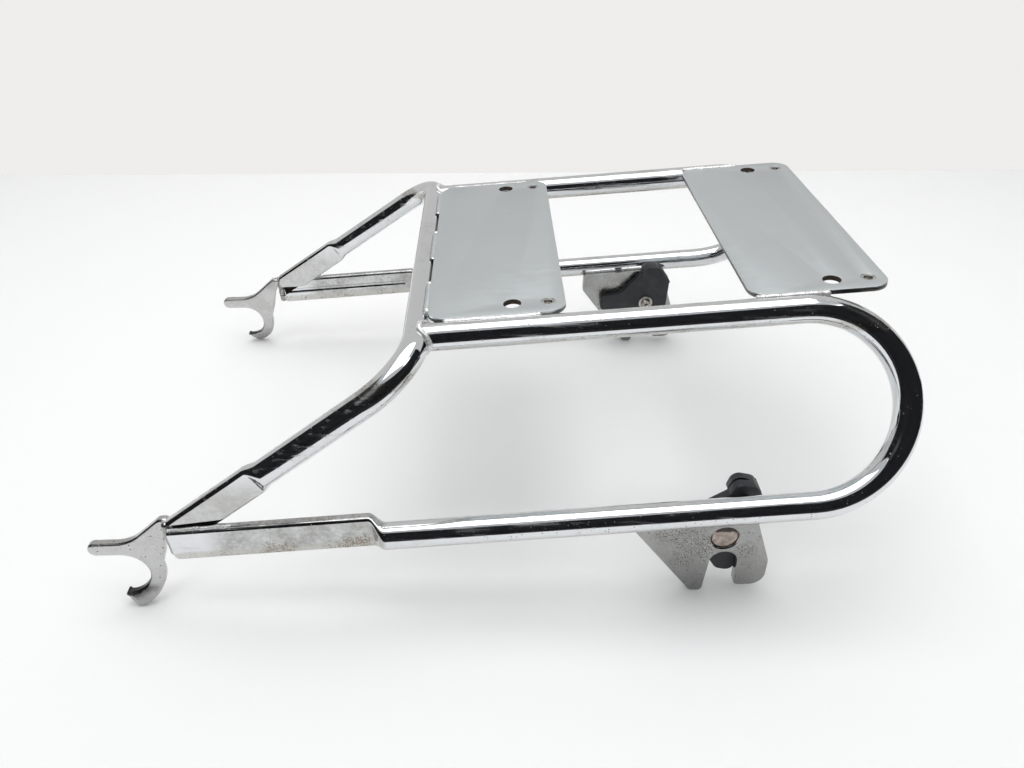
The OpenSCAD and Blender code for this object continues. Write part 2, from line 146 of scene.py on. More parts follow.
def cutBy(obj, cutters):
    for cutter in cutters:
        mod = obj.modifiers.new("cut", "BOOLEAN")
        mod.operation = "DIFFERENCE"
        mod.solver = "EXACT"
        mod.object = cutter
    applyModifiers(obj)
    for cutter in cutters:
        bpy.data.objects.remove(cutter)
    return obj


def sleeveFaces(n):  # two end caps, and the walls between two rings of n points
    faces = [tuple(range(n)), tuple(range(2 * n - 1, n - 1, -1))]
    return faces + [(i, i + n, (i + 1) % n + n, (i + 1) % n) for i in range(n)]


def prism(name, outline, toRow, low, high):  # outline in x and h, made solid from y low to y high
    verts = [toRow(x, y, h) for y in (low, high) for x, h in outline]
    return fixNormals(newMesh(name, verts, sleeveFaces(len(outline))))


def rectangle(x0, x1, h0, h1):
    return [(x0, h0), (x1, h0), (x1, h1), (x0, h1)]


def bevelEdges(obj, width, segments, angle, clamp=True):
    mod = obj.modifiers.new("bevel", "BEVEL")
    mod.width = width / 1000
    mod.segments = segments
    mod.limit_method = "ANGLE"
    mod.angle_limit = math.radians(angle)
    mod.use_clamp_overlap = clamp
    return applyModifiers(obj)


copying = {"merge": 2e-6, "flatAngle": 1.2, "bevelAngle": 35}


def finishNode(name, material, bevel, segments=3):
    # a merged and bevelled copy of a solid, which then stands for it
    obj = bpy.data.objects.new(name + "_finish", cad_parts[name].data.copy())
    collection.objects.link(obj)
    with meshEdit(obj) as work:
        bmesh.ops.remove_doubles(work, verts=work.verts, dist=copying["merge"])
        bmesh.ops.dissolve_limit(work, angle_limit=math.radians(copying["flatAngle"]), verts=work.verts,
                                 edges=work.edges)
    bevelEdges(obj, bevel, segments, copying["bevelAngle"])
    return setMaterial(smoothByAngle(obj), material)


def arc(centre, radii, start, end, steps):  # in degrees, from the first angle to the last
    return [(centre[0] + radii[0] * math.cos(math.radians(start + (end - start) * k / steps)),
             centre[1] + radii[1] * math.sin(math.radians(start + (end - start) * k / steps)))
            for k in range(steps + 1)]


# x from the hook tips back, height above the floor; those marked + are above the finger's underside
hookShape = {"throat": (18.0, 23.4), "throatRadius": 14.1, "nose": 4.6, "fingerTop+": (9.5, 9.3),
             "saddle+": (16.0, 33.9), "saddleRadius": 24.5,
             "neckTop": [(45.0, 64.2), (46.4, 65.2), (49.0, 65.5), (51.4, 65.2), (52.2, 63.6)],
             "neckRear": [(49.4, 57.0), (47.2, 51.0), (46.0, 45.0), (45.0, 40.0), (43.4, 35.5)],
             "jaw": (18.8, 25.4), "jawRadii": (22.4, 25.3), "lipEnd": [(22.6, 0.9), (19.2, 4.0), (15.6, 8.7)],
             "bendFrom": 21.0, "bendTo": 13.0, "bendCuts": 8, "flare": 22.0, "edge": 1.5}


def hookPiece(name, side, material):
    # finger with a round nose, round throat, and a lip cut on the slant and bent outwards
    shape = hookShape
    under = shape["throat"][1] + shape["throatRadius"]
    outline = arc((shape["nose"], under + shape["nose"]), (shape["nose"],) * 2, 270, 90, 18)
    outline += [(shape["fingerTop+"][0], under + shape["fingerTop+"][1])]
    outline += arc((shape["saddle+"][0], under + shape["saddle+"][1]), (shape["saddleRadius"],) * 2,
                   -84, -50, 14)
    outline += shape["neckTop"] + shape["neckRear"]
    outline += arc(shape["jaw"], shape["jawRadii"], 8, -76, 26) + shape["lipEnd"]
    outline += arc(shape["throat"], (shape["throatRadius"],) * 2, -98, 90, 44)
    obj = prism(name, outline, rowPoint, *sorted((side * dockIn, side * dockOut)))
    bevelEdges(obj, shape["edge"], 4, 50, clamp=False)
    slope = math.tan(math.radians(shape["flare"]))
    span = shape["bendFrom"] - shape["bendTo"]
    with meshEdit(obj) as work:
        for k in range(shape["bendCuts"] + 1):
            height = (shape["bendTo"] + span * k / shape["bendCuts"]) / 1000
            everything = work.verts[:] + work.edges[:] + work.faces[:]
            bmesh.ops.bisect_plane(work, geom=everything, plane_co=(0, 0, height), plane_no=(0, 0, 1))
        for vert in work.verts:
            below = shape["bendFrom"] - vert.co.z * 1000
            if below > 0:
                shift = slope * (below * below / (2 * span) if below < span else below - span / 2)
                vert.co.y += side * shift / 1000
    return setMaterial(smoothByAngle(obj), material)


def setMaterial(obj, *materials):
    indices = [polygon.material_index for polygon in obj.data.polygons]
    obj.data.materials.clear()
    for material in materials:
        obj.data.materials.append(material)
    last = len(materials) - 1
    obj.data.polygons.foreach_set("material_index", [min(i, last) for i in indices])
    return obj


def keep(obj, body, slotName, *nodes):
    if nodes:
        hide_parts(*nodes)
    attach(obj, body)
    return obj


# Tubes are rings of points joined along a path

ringCount = 64


def ringAngles():
    return [(i + 0.5) * 2 * math.pi / ringCount for i in range(ringCount)]


def sectionOffset(angle, width, height, corner):  # point of a rounded rectangle facing that way
    a, b = math.cos(angle), math.sin(angle)
    return ((math.copysign(width / 2 - corner, a) + corner * a),
            (math.copysign(height / 2 - corner, b) + corner * b))


def ease(t):
    return t * t * (3 - 2 * t)


def tubeMesh(name, outer, inner):  # outer and inner are matching lists of rings
    rings = outer + inner[::-1]
    verts = [p for ring in rings for p in ring]
    faces = []
    total = len(rings)
    for k in range(total):
        a, b = k * ringCount, ((k + 1) % total) * ringCount
        for i in range(ringCount):
            j = (i + 1) % ringCount
            faces.append((a + i, a + j, b + j, b + i))
    obj = newMesh(name, verts, faces)
    for polygon in obj.data.polygons:
        strip = polygon.index // ringCount
        polygon.material_index = 1 if len(outer) <= strip < total - 1 else 0
    return fixNormals(obj)


def sideRings(side, inset):
    # the loop from the crossbar back, round the bend, and forward to the bar's front end
    radius = tube["radius"] - inset
    rings = []

    def add(centre, axes, spread):
        rings.append([deckPoint(centre[0] + axes[0][0] * p + axes[1][0] * q,
                                side * (centre[1] + axes[0][1] * p + axes[1][1] * q),
                                centre[2] + axes[0][2] * p + axes[1][2] * q)
                      for p, q in spread])

    circle = [(radius * math.cos(a), radius * math.sin(a)) for a in ringAngles()]
    middle = (loop["bendX"], deck["halfWidth"] + loopSpread / 2, midHeight)
    down = (0, leanSin, -leanCos)
    normal = (0, leanCos, leanSin)
    # ring's first axis points away from the loop's middle
    for k in range(13):
        x = deck["crossbarX"] + (loop["bendX"] - deck["crossbarX"]) * k / 13
        if k == 0:
            ring = []
            for a in ringAngles():
                p, q = radius * math.cos(a), radius * math.sin(a)
                y = deck["halfWidth"] - down[1] * p + normal[1] * q
                h = deck["height"] - down[2] * p + normal[2] * q
                drop = h - deck["height"]
                mouth = math.sqrt(max((tube["radius"] + 0.05) ** 2 - drop ** 2, 0))
                ring.append(deckPoint(deck["crossbarX"] + mouth, side * y, h))
            rings.append(ring)
            continue
        add((x, deck["halfWidth"], deck["height"]), ((0, -down[1], -down[2]), normal), circle)
    steps = 40
    for k in range(steps + 1):
        t = math.radians(-90 + 180 * k / steps)
        out = (math.cos(t), math.sin(t) * down[1], math.sin(t) * down[2])
        centre = tuple(m + loop["bendRadius"] * o for m, o in zip(middle, out))
        add(centre, (out, normal), circle)
    swageX = loop["barRear"] + loop["swage"]
    for k in range(1, 13):
        x = loop["bendX"] + (swageX - loop["bendX"]) * k / 12
        add((x, lowHalfWidth, lowHeight), (down, normal), circle)
    # the flattened rings are numbered from the same side as the leaning circles
    flatAngles = [a + math.radians(loop["lean"] - 90) for a in ringAngles()]
    steps = 10
    for k in range(1, steps + 1):
        t = k / steps
        s = ease(t)
        x = swageX - loop["swage"] * t
        w = 2 * radius + (loop["barThick"] - 2 * inset - 2 * radius) * s
        h = 2 * radius + (loop["barHeight"] - 2 * inset - 2 * radius) * s
        c = radius + (max(loop["barCorner"] - inset, 1.0) - radius) * s
        y0 = lowHalfWidth + (barY - lowHalfWidth) * s
        h0 = lowHeight + (barMid - lowHeight) * s
        add((x, y0, h0), ((0, 1, 0), (0, 0, 1)), [sectionOffset(a, w, h, c) for a in flatAngles])
    front = loop["barFront"]
    for k in range(1, 11):
        x = loop["barRear"] + (front - loop["barRear"]) * k / 10
        add((x, barY, barMid), ((0, 1, 0), (0, 0, 1)),
            [sectionOffset(a, loop["barThick"] - 2 * inset, loop["barHeight"] - 2 * inset,
                           max(loop["barCorner"] - inset, 1.0)) for a in flatAngles])
    return rings


barEnd = {"corner": 5, "slantFoot": 12, "slantReach": 21, "slantTop": 3, "slantDepth": 2.3,
          "grooveSides": 24, "grooveRadius": 3, "grooveInset": 2}


def sideTube(name, side, material, inside):
    obj = tubeMesh(name + "_finish", sideRings(side, 0), sideRings(side, tube["wall"]))
    front, barLow, corner = loop["barFront"], barTop - loop["barHeight"], barEnd["corner"]
    lowCorner = [(front - 1, barLow - 1), (front - 1, barLow + corner)]
    lowCorner += arc((front + corner, barLow + corner), (-corner, -corner), 0, 90, 10)
    lowCorner += [(front + corner, barLow - 1)]
    foot, reach = front - barEnd["slantFoot"], front + barEnd["slantReach"]
    slant = [(foot, barLow - 1), (reach, barTop - barEnd["slantTop"]), (reach, barTop + 1), (foot, barTop + 1)]
    low, high = barY - loop["barThick"], barY + loop["barThick"]
    slantHigh = barY - loop["barThick"] / 2 + barEnd["slantDepth"]
    cutters = [prism("lowCorner", lowCorner, deckPoint, *sorted((side * low, side * high))),
               prism("slantCut", slant, deckPoint, *sorted((side * low, side * slantHigh)))]
    # groove that the flattening left along the inner face
    sides = barEnd["grooveSides"]
    ring = arc((innerY - barEnd["grooveInset"], barMid), (barEnd["grooveRadius"],) * 2,
               0, 360 - 360 / sides, sides - 1)
    verts = [deckPoint(x, side * y, h) for x in (front - 1, loop["barRear"] - 6) for y, h in ring]
    cutters.append(fixNormals(newMesh("groove", verts, sleeveFaces(sides))))
    cutBy(obj, cutters)
    return setMaterial(smoothByAngle(obj, 38), material, inside)


def hoopRings(inset):
    radius = tube["radius"] - inset
    circle = [(radius * math.cos(a), radius * math.sin(a)) for a in ringAngles()]
    half = []   # centre, outward axis and section, from the crossbar's middle to the right leg's end
    for k in range(8):
        half.append(((0, hoop["crossHalf"] * k / 8), (1, 0), circle))
    steps = 22
    for k in range(steps + 1):
        t = math.radians(hoop["turn"] * k / steps)
        out = (math.cos(t), math.sin(t))
        half.append(((-hoop["cornerRadius"] + hoop["cornerRadius"] * out[0],
                      hoop["crossHalf"] + hoop["cornerRadius"] * out[1]), out, circle))
    t = math.radians(hoop["turn"])
    out, along = (math.cos(t), math.sin(t)), (-math.sin(t), math.cos(t))
    start = half[-1][0]
    for k in range(1, 7):
        d = hoop["roundLength"] * k / 6
        half.append(((start[0] + along[0] * d, start[1] + along[1] * d), out, circle))
    for k in range(1, 11):
        s = ease(k / 10)
        d = hoop["roundLength"] + hoop["swage"] * k / 10
        w = 2 * radius + (hoop["flatThick"] - 2 * inset - 2 * radius) * s
        h = 2 * radius + (hoop["flatHeight"] - 2 * inset - 2 * radius) * s
        c = radius + (max(hoop["flatCorner"] - inset, 1.2) - radius) * s
        half.append(((start[0] + along[0] * d, start[1] + along[1] * d), out,
                     [sectionOffset(a, w, h, c) for a in ringAngles()]))
    for k in range(1, 7):
        d = hoop["roundLength"] + hoop["swage"] + hoop["flatLength"] * k / 6
        half.append(((start[0] + along[0] * d, start[1] + along[1] * d), out, half[-1][2]))
    rings = []
    for (u, v), out, spread in half[::-1]:
        rings.append([hoopPoint(u + out[0] * p, -(v + out[1] * p), q) for p, q in spread])
    for (u, v), out, spread in half[1:]:
        rings.append([hoopPoint(u + out[0] * p, v + out[1] * p, q) for p, q in spread])
    return rings


legEnd = {"lap": 5, "openGap": 3.4, "reach": 60}


def frontHoop(material, inside):
    obj = tubeMesh("front_hoop_finish", hoopRings(0), hoopRings(tube["wall"]))
    reach = deck["crossbarX"] - legEnd["reach"]
    # above the bar, where the leg laps its inner face, and off the leg's end
    cuts = ((reach, innerY - dock["seat"], innerY + 60, barTop + legEnd["openGap"]),
            (reach, barY - 40, innerY + 60, barTop - legEnd["lap"]),
            (loop["barFront"], barY - 40, barY + 40, 160))
    cutBy(obj, [prism("legCut", rectangle(-40, x1, -40, h1), deckPoint, *sorted((side * y0, side * y1)))
                for side in (-1, 1) for x1, y0, y1, h1 in cuts])
    return setMaterial(smoothByAngle(obj, 38), material, inside)


class Wire:
    # a socket that takes the usual signs: each one adds a Math node
    def __init__(self, paint, socket):
        self.paint, self.socket = paint, socket

    def join(self, operation, *others, clamp=False):
        return self.paint.add("ShaderNodeMath", {"operation": operation, "use_clamp": clamp},
                              {i: v for i, v in enumerate((self,) + others)})

    def __add__(self, other): return self.join("ADD", other)
    def __radd__(self, other): return self.join("ADD", other)
    def __mul__(self, other): return self.join("MULTIPLY", other)
    def __rmul__(self, other): return self.join("MULTIPLY", other)
    def __sub__(self, other): return self.join("SUBTRACT", other)
    def __rsub__(self, other): return self.paint.add(
        "ShaderNodeMath", {"operation": "SUBTRACT"}, {0: other, 1: self})
    def __truediv__(self, other): return self.join("DIVIDE", other)
    def __pow__(self, other): return self.join("POWER", other)
    def atLeast(self, other): return self.join("MAXIMUM", other)
    def clamped(self): return self.join("ADD", 0.0, clamp=True)


class Paint:
    def __init__(self, name, **settings):
        self.material = bpy.data.materials.new(name)
        self.material.use_nodes = True
        self.tree = self.material.node_tree
        self.shader = self.tree.nodes["Principled BSDF"]
        self.set(**settings)
        self.place = self.add("ShaderNodeTexCoord", {}, {}, out="Object")

    def node(self, kind, settings, values):
        made = self.tree.nodes.new(kind)
        for key, value in settings.items():
            setattr(made, key, value)
        for key, value in values.items():
            if isinstance(value, Wire):
                self.tree.links.new(value.socket, made.inputs[key])
            else:
                made.inputs[key].default_value = value
        return made

    def add(self, kind, settings, values, out=0):
        return Wire(self, self.node(kind, settings, values).outputs[out])

    def split(self, kind, whole):
        return [Wire(self, socket) for socket in self.node(kind, {}, {0: whole}).outputs]

    def axes(self):
        return self.split("ShaderNodeSeparateXYZ", self.place)

    def noise(self, scale, detail=3.0, rough=0.55, place=None):
        return self.add("ShaderNodeTexNoise", {"noise_dimensions": "3D"},
                        {"Vector": place or self.place, "Scale": scale, "Detail": detail,
                         "Roughness": rough})

    def stretch(self, scale):
        return self.add("ShaderNodeMapping", {"vector_type": "POINT"}, {"Vector": self.place, "Scale": scale})

    def step(self, value, low, high, toLow=0.0, toHigh=1.0):
        return self.add("ShaderNodeMapRange", {"interpolation_type": "SMOOTHSTEP"},
                        {"Value": value, "From Min": low, "From Max": high,
                         "To Min": toLow, "To Max": toHigh})

    def fall(self, value, low, high):
        return self.step(value, low, high, 1.0, 0.0)

    def colours(self, factor, first, second):
        ends = [c if isinstance(c, Wire) else (*c, 1) for c in (first, second)]
        return self.add("ShaderNodeMix", {"data_type": "RGBA"}, {0: factor, 6: ends[0], 7: ends[1]}, out=2)

    def away(self, point):
        return self.add("ShaderNodeVectorMath", {"operation": "DISTANCE"},
                        {0: self.place, 1: tuple(point)}, out="Value")

    def near(self, point, radius):
        # 1 at a spot on the object, fading to 0 at the radius, with an uneven edge
        uneven = (self.noise(260) - 0.5) * (radius * 0.7)
        return self.fall(self.away(point) + uneven, radius * 0.35, radius)

    def dots(self, scale, size, share):
        # scattered small pits: the cells whose random value is under the share
        cells = self.node("ShaderNodeTexVoronoi", {"feature": "F1"}, {"Vector": self.place, "Scale": scale})
        pick, width, spare = self.split("ShaderNodeSeparateColor", Wire(self, cells.outputs["Color"]))
        chosen = self.fall(pick, share - 0.01, share + 0.01)
        wide = width * size + size * 0.35
        return chosen * self.fall(Wire(self, cells.outputs["Distance"]) / wide, 0.55, 1.0)

    def set(self, **values):
        for key, value in values.items():
            socket = self.shader.inputs[key.replace("_", " ")]
            if isinstance(value, Wire):
                self.tree.links.new(value.socket, socket)
            else:
                socket.default_value = value
        return self

    def bump(self, height, strength, distance):
        return self.set(Normal=self.add("ShaderNodeBump", {}, {
            "Strength": strength, "Distance": distance, "Height": height}))


def highest(masks):
    return functools.reduce(Wire.atLeast, masks)


def deckRise(x, z):  # height in the deck's own frame, in metres
    return z * tiltCos - (x + centreX / 1000) * tiltSin


# beige and beigeDark, laid between bandUpper and bandLower, are a painted reflection on the lower part of the
# round tubes
chromeLook = {"tint": (0.755, 0.77, 0.785), "dull": (0.46, 0.455, 0.44), "pit": (0.10, 0.085, 0.07),
              "blotch": (0.64, 0.645, 0.65), "beige": (0.62, 0.61, 0.585), "beigeDark": (0.50, 0.485, 0.45),
              "specks": (0.13, 0.10, 0.06), "rust": (0.17, 0.105, 0.04), "rustLight": (0.34, 0.25, 0.12),
              "roughness": 0.06, "streaks": 0.26, "bandUpper": (4.5, 2.0), "bandLower": (10, 9)}


def chromePaint(name, calm, rustSpots=(), pitShare=0.16, dullness=1.0, mottle=None, blotched=0.38,
                pitsAndReflection=()):
    look = chromeLook
    paint = Paint(name, Metallic=1.0)
    x, y, z = paint.axes()
    cloud = paint.noise(38, 4, 0.6)
    fine = paint.noise(520, 3, 0.6)
    haze = paint.step(cloud * 0.75 + fine * 0.25, 0.50, 0.72)
    pits = paint.dots(620, 0.24, pitShare) * paint.step(paint.noise(55, 2), 0.42, 0.62)
    colour = paint.colours(haze * 0.35 * dullness, look["tint"], look["dull"])
    colour = paint.colours(pits * 0.85, colour, look["pit"])
    # polishing streaks run along the straight tubes and stop at the bend
    streak = paint.step(paint.noise(420, 2, 0.5, place=paint.stretch((0.05, 1, 1))), 0.50, 0.72)
    streak = streak * paint.fall(x, calm, calm + 0.015)
    rough = haze * (0.10 * dullness) + pits * 0.4 + streak * look["streaks"] + look["roughness"]
    if mottle:
        # dull and blotched along a flattened stretch: start, full, end and top of it
        blotch = paint.step(paint.noise(330, 5, 0.75) * 0.55 + paint.noise(60, 3, 0.6) * 0.45, 0.36, 0.62)
        start, full, end, top = mottle
        reach = paint.step(x, start, full) * paint.fall(x, end - 0.006, end)
        grey = paint.colours(blotch, look["blotch"], (blotched, blotched, blotched * 0.97))
        colour = paint.colours(reach * paint.fall(z, top - 0.020, top), colour, grey)
    if pitsAndReflection:
        # fine pits, which are real, and a beige cast along the lower part of the round tubes, which is a
        # painted reflection of the pale floor below
        height = deckRise(x, z)
        upper, lower = look["bandUpper"], look["bandLower"]
        under = highest([paint.fall(height, (middle - upper[0]) / 1000, (middle - upper[1]) / 1000)
                         * paint.step(height, (middle - lower[0]) / 1000, (middle - lower[1]) / 1000)
                         for middle in pitsAndReflection])
        specks = paint.dots(1000, 0.60, 0.42) * paint.step(paint.noise(120, 3), 0.40, 0.60)
        reflectedCast = paint.colours(paint.noise(180, 4, 0.7), look["beige"], look["beigeDark"])
        colour = paint.colours(under * 0.75, colour, reflectedCast)
        colour = paint.colours(under * specks * 0.8, colour, look["specks"])
        rough = rough + under * 0.12
    metal = 1.0 - pits * 0.5
    if rustSpots:
        spots = highest([paint.near(point, radius) * amount for point, radius, amount in rustSpots])
        speckle = paint.step(paint.noise(900, 3, 0.7) + spots * 0.22, 0.60, 0.70)
        rust = (speckle * spots).clamped()
        tone = paint.colours(paint.noise(600, 2), look["rust"], look["rustLight"])
        colour = paint.colours(rust, colour, tone)
        rough = rough + rust * 0.6
        metal = metal - rust * 0.9
    paint.set(Base_Color=colour, Roughness=rough.clamped(), Metallic=metal.clamped())
    paint.bump(fine * 0.12 + cloud * 0.4 - pits * 1.2, 0.25, 0.0002)
    return paint.material


plateLook = {"tint": (0.70, 0.745, 0.765), "paler": (0.72, 0.765, 0.78), "pit": (0.12, 0.11, 0.10),
             "edge": (0.075, 0.065, 0.05), "holeShade": (0.045, 0.028, 0.020), "holeRadius": (0.0052, 0.0057),
             "edgeUpper": (0.9, 0.4), "edgeLower": (2.9, 2.6)}


def platePaint(holes):
    # painted shade on the walls of the plain holes, with a rust-brown tint, and painted shade on the cut
    # edges, in the crease where they sit over the tubes
    look = plateLook
    paint = Paint("platePlating", Metallic=1.0)
    x, y, z = paint.axes()
    cloud = paint.noise(14, 3, 0.5)
    fine = paint.noise(700, 3, 0.6)
    grain = paint.noise(60, 3, 0.6, place=paint.stretch((1, 6, 1)))
    pits = paint.dots(300, 0.14, 0.015)
    height = deckRise(x, z)
    upper, lower = ([(plateTop - drop) / 1000 for drop in look[key]] for key in ("edgeUpper", "edgeLower"))
    edge = paint.fall(height, *upper) * paint.step(height, *lower)
    hole = highest([paint.fall(paint.away(centre), *look["holeRadius"]) for centre in holes])
    colour = paint.colours(paint.step(cloud, 0.35, 0.7), look["tint"], look["paler"])
    colour = paint.colours(pits * 0.7, colour, look["pit"])
    # painted shade on the cut edges, in the crease over the tubes
    colour = paint.colours(edge * 0.85, colour, look["edge"])
    # painted shade in the plain holes, with a rust-brown tint
    colour = paint.colours(hole, colour, look["holeShade"])
    paint.set(Base_Color=colour, Metallic=1.0 - hole * 0.9,
              Roughness=paint.step(grain, 0.2, 0.8, 0.30, 0.40) + pits * 0.3 + hole * 0.4)
    paint.bump(fine * 0.2 + grain * 0.3 - pits * 0.8, 0.15, 0.0001)
    return paint.material


dockLook = {"foot": (0.20, 0.20, 0.195), "floorShadeTop": 0.030, "pit": (0.07, 0.06, 0.05),
            "throatShade": (0.045, 0.042, 0.038), "rust": (0.085, 0.068, 0.040)}


def dockPaint(name, light, dark, specks=(), throatShade=None):
    look = dockLook
    paint = Paint(name, Metallic=1.0)
    x, y, z = paint.axes()
    cloud = paint.noise(70, 4, 0.6)
    fine = paint.noise(900, 3, 0.6)
    pits = paint.dots(420, 0.30, 0.16)
    colour = paint.colours(paint.step(cloud * 0.5 + fine * 0.5, 0.3, 0.75), light, dark)
    # painted shade and dark reflection, strongest at the floor and gone 30 mm up
    colour = paint.colours(paint.step(z, 0.002, look["floorShadeTop"], 0.45, 0.0), colour, look["foot"])
    colour = paint.colours(pits * 0.85, colour, look["pit"])
    rough = paint.step(cloud, 0.3, 0.8, 0.22, 0.34) + pits * 0.3
    if throatShade:
        # painted shade over the lower half of a round throat
        centre, radius = throatShade
        away = ((x - centre.x) * (x - centre.x) + (z - centre.z) * (z - centre.z)) ** 0.5
        throatShadeMask = paint.fall(away + cloud * 0.0012, radius + 0.0009, radius + 0.0021)
        throatShadeMask = throatShadeMask * paint.fall(z, centre.z - 0.006, centre.z + 0.002)
        colour = paint.colours(throatShadeMask * 0.88, colour, look["throatShade"])
    metal = 1.0 - pits * 0.5
    for point, radius in specks:
        rust = paint.dots(1150, 0.60, 0.72) * paint.near(point, radius)
        colour = paint.colours(rust, colour, look["rust"])
        rough = rough + rust * 0.4
        metal = metal - rust * 0.8
    paint.set(Base_Color=colour, Roughness=rough.clamped(), Metallic=metal.clamped())
    paint.bump(fine * 0.3 + cloud * 0.5 - pits, 0.3, 0.0002)
    return paint.material


# the last colour and its two limits are painted shade on the top and the front of the pin's head
pinLook = {"light": (0.52, 0.45, 0.41), "dark": (0.34, 0.28, 0.24), "pit": (0.10, 0.07, 0.05),
           "pinShade": (0.035, 0.03, 0.027), "pinShadeTop": (0.0040, 0.0058), "pinShadeFront": (0.0074, 0.0064)}


def pinPaint():
    look = pinLook
    paint = Paint("pinFace", Metallic=1.0)
    x, y, z = paint.axes()
    cloud = paint.noise(300, 4, 0.65)
    colour = paint.colours(paint.step(cloud, 0.35, 0.65), look["light"], look["dark"])
    pits = paint.dots(900, 0.25, 0.25)
    colour = paint.colours(pits, colour, look["pit"])
    # painted shade along the top of the head, where the tube shades it, and along its front, in the gap round
    # the head
    centre = rowPoint(pivot["x"], 0, pivot["z"])
    top = [centre.z + rise for rise in look["pinShadeTop"]]
    front = [centre.x - lead for lead in look["pinShadeFront"]]
    pinShade = paint.step(z + cloud * 0.002, *top).atLeast(paint.fall(x + cloud * 0.001, *front))
    colour = paint.colours(pinShade * 0.9, colour, look["pinShade"])
    paint.set(Base_Color=colour, Roughness=paint.step(cloud, 0.3, 0.7, 0.32, 0.5))
    paint.bump(cloud * 0.5 - pits, 0.3, 0.0002)
    return paint.material


leverLook = {"dark": (0.012, 0.013, 0.016), "light": (0.024, 0.026, 0.031), "scuff": (0.07, 0.072, 0.078)}


def leverPaint():
    paint = Paint("blackLever", Metallic=0.0, Specular_IOR_Level=0.5)
    cloud = paint.noise(90, 4, 0.6)
    fine = paint.noise(1600, 2, 0.6)
    scuff = paint.step(paint.noise(260, 5, 0.7), 0.60, 0.74)
    colour = paint.colours(paint.step(cloud, 0.35, 0.7), leverLook["dark"], leverLook["light"])
    colour = paint.colours(scuff * 0.4, colour, leverLook["scuff"])
    paint.set(Base_Color=colour, Roughness=paint.step(cloud, 0.3, 0.7, 0.30, 0.44) + scuff * 0.12)
    paint.bump(fine * 0.4 + cloud * 0.4, 0.2, 0.0002)
    return paint.material


def smallPlating(name, scale, light, dark, smooth, dull):  # screws, washers and clinch nuts
    paint = Paint(name, Metallic=1.0)
    cloud = paint.noise(scale, 3, 0.6)
    paint.set(Base_Color=paint.colours(paint.step(cloud, 0.35, 0.7), light, dark),
              Roughness=paint.step(cloud, 0.3, 0.7, smooth, dull))
    paint.bump(cloud, 0.2, 0.0001)
    return paint.material


def insidePaint():
    paint = Paint("tubeInside", Metallic=0.2, Roughness=0.85)
    cloud = paint.noise(160, 4, 0.65)
    paint.set(Base_Color=paint.colours(paint.step(cloud, 0.35, 0.7), (0.018, 0.016, 0.015),
                                       (0.060, 0.042, 0.028)))
    return paint.material


def weldPaint():
    paint = Paint("weldBead", Metallic=0.6)
    cloud = paint.noise(240, 4, 0.6)
    paint.set(Base_Color=paint.colours(paint.step(cloud, 0.48, 0.74), (0.86, 0.86, 0.86), (0.48, 0.46, 0.43)),
              Roughness=paint.step(cloud, 0.35, 0.75, 0.22, 0.40))
    paint.bump(cloud, 0.35, 0.0003)
    return paint.material


def ruleTree(name, sizes):
    # an empty Geometry Nodes tree with named sizes, and the function that puts nodes in it
    tree = bpy.data.node_groups.new(name, "GeometryNodeTree")
    face = tree.interface
    face.new_socket("Geometry", in_out="INPUT", socket_type="NodeSocketGeometry")
    ids = {}
    for label, value in sizes.items():
        socket = face.new_socket(label, in_out="INPUT", socket_type="NodeSocketFloat")
        socket.default_value = value
        ids[label] = socket.identifier
    face.new_socket("Geometry", in_out="OUTPUT", socket_type="NodeSocketGeometry")

    def put(kind, settings=(), values=()):
        node = tree.nodes.new(kind)
        for key, value in dict(settings).items():
            setattr(node, key, value)
        for key, value in dict(values).items():
            if isinstance(value, bpy.types.NodeSocket):
                tree.links.new(value, node.inputs[key])
            else:
                node.inputs[key].default_value = value
        return node

    return tree, ids, put


def followRule(obj, tree, ids, sizes):
    mod = obj.modifiers.new("rule", "NODES")
    mod.node_group = tree
    for label, value in sizes.items():
        mod[ids[label]] = value
    return applyModifiers(obj)


# Weld beads are overlapping ripples along a path

bead = {"pitch": 0.00065, "flatten": 0.92, "seed": 7, "smallest": 0.96, "largest": 1.03, "lean": 0.5}


def beadTree(material):
    tree, ids, put = ruleTree("beadRipples", {"Pitch": bead["pitch"], "Radius": 0.002,
                                              "Flatten": bead["flatten"]})
    start = put("NodeGroupInput")
    curve = put("GeometryNodeMeshToCurve", (), {0: start.outputs["Geometry"]})
    points = put("GeometryNodeCurveToPoints", {"mode": "LENGTH"},
                 {"Curve": curve.outputs[0], "Length": start.outputs["Pitch"]})
    ball = put("GeometryNodeMeshIcoSphere", (), {"Radius": 1.0, "Subdivisions": 3})
    lumps = put("FunctionNodeRandomValue", {"data_type": "FLOAT"},
                {"Seed": bead["seed"], 2: bead["smallest"], 3: bead["largest"]})
    size = put("ShaderNodeMath", {"operation": "MULTIPLY"}, {0: lumps.outputs[1], 1: start.outputs["Radius"]})
    thin = put("ShaderNodeMath", {"operation": "MULTIPLY"}, {0: size.outputs[0], 1: start.outputs["Flatten"]})
    scale = put("ShaderNodeCombineXYZ", (), {0: size.outputs[0], 1: size.outputs[0], 2: thin.outputs[0]})
    tilt = put("FunctionNodeRotateEuler", {"rotation_type": "AXIS_ANGLE", "space": "LOCAL"},
               {"Rotation": points.outputs["Rotation"], "Axis": (1, 0, 0), "Angle": bead["lean"]})
    placed = put("GeometryNodeInstanceOnPoints", (),
                 {"Points": points.outputs["Points"], "Instance": ball.outputs[0],
                  "Rotation": tilt.outputs[0], "Scale": scale.outputs[0]})
    real = put("GeometryNodeRealizeInstances", (), {0: placed.outputs[0]})
    smooth = put("GeometryNodeSetShadeSmooth", (), {0: real.outputs[0]})
    painted = put("GeometryNodeSetMaterial", (), {0: smooth.outputs[0], "Material": material})
    put("NodeGroupOutput", (), {0: painted.outputs[0]})
    return tree, ids


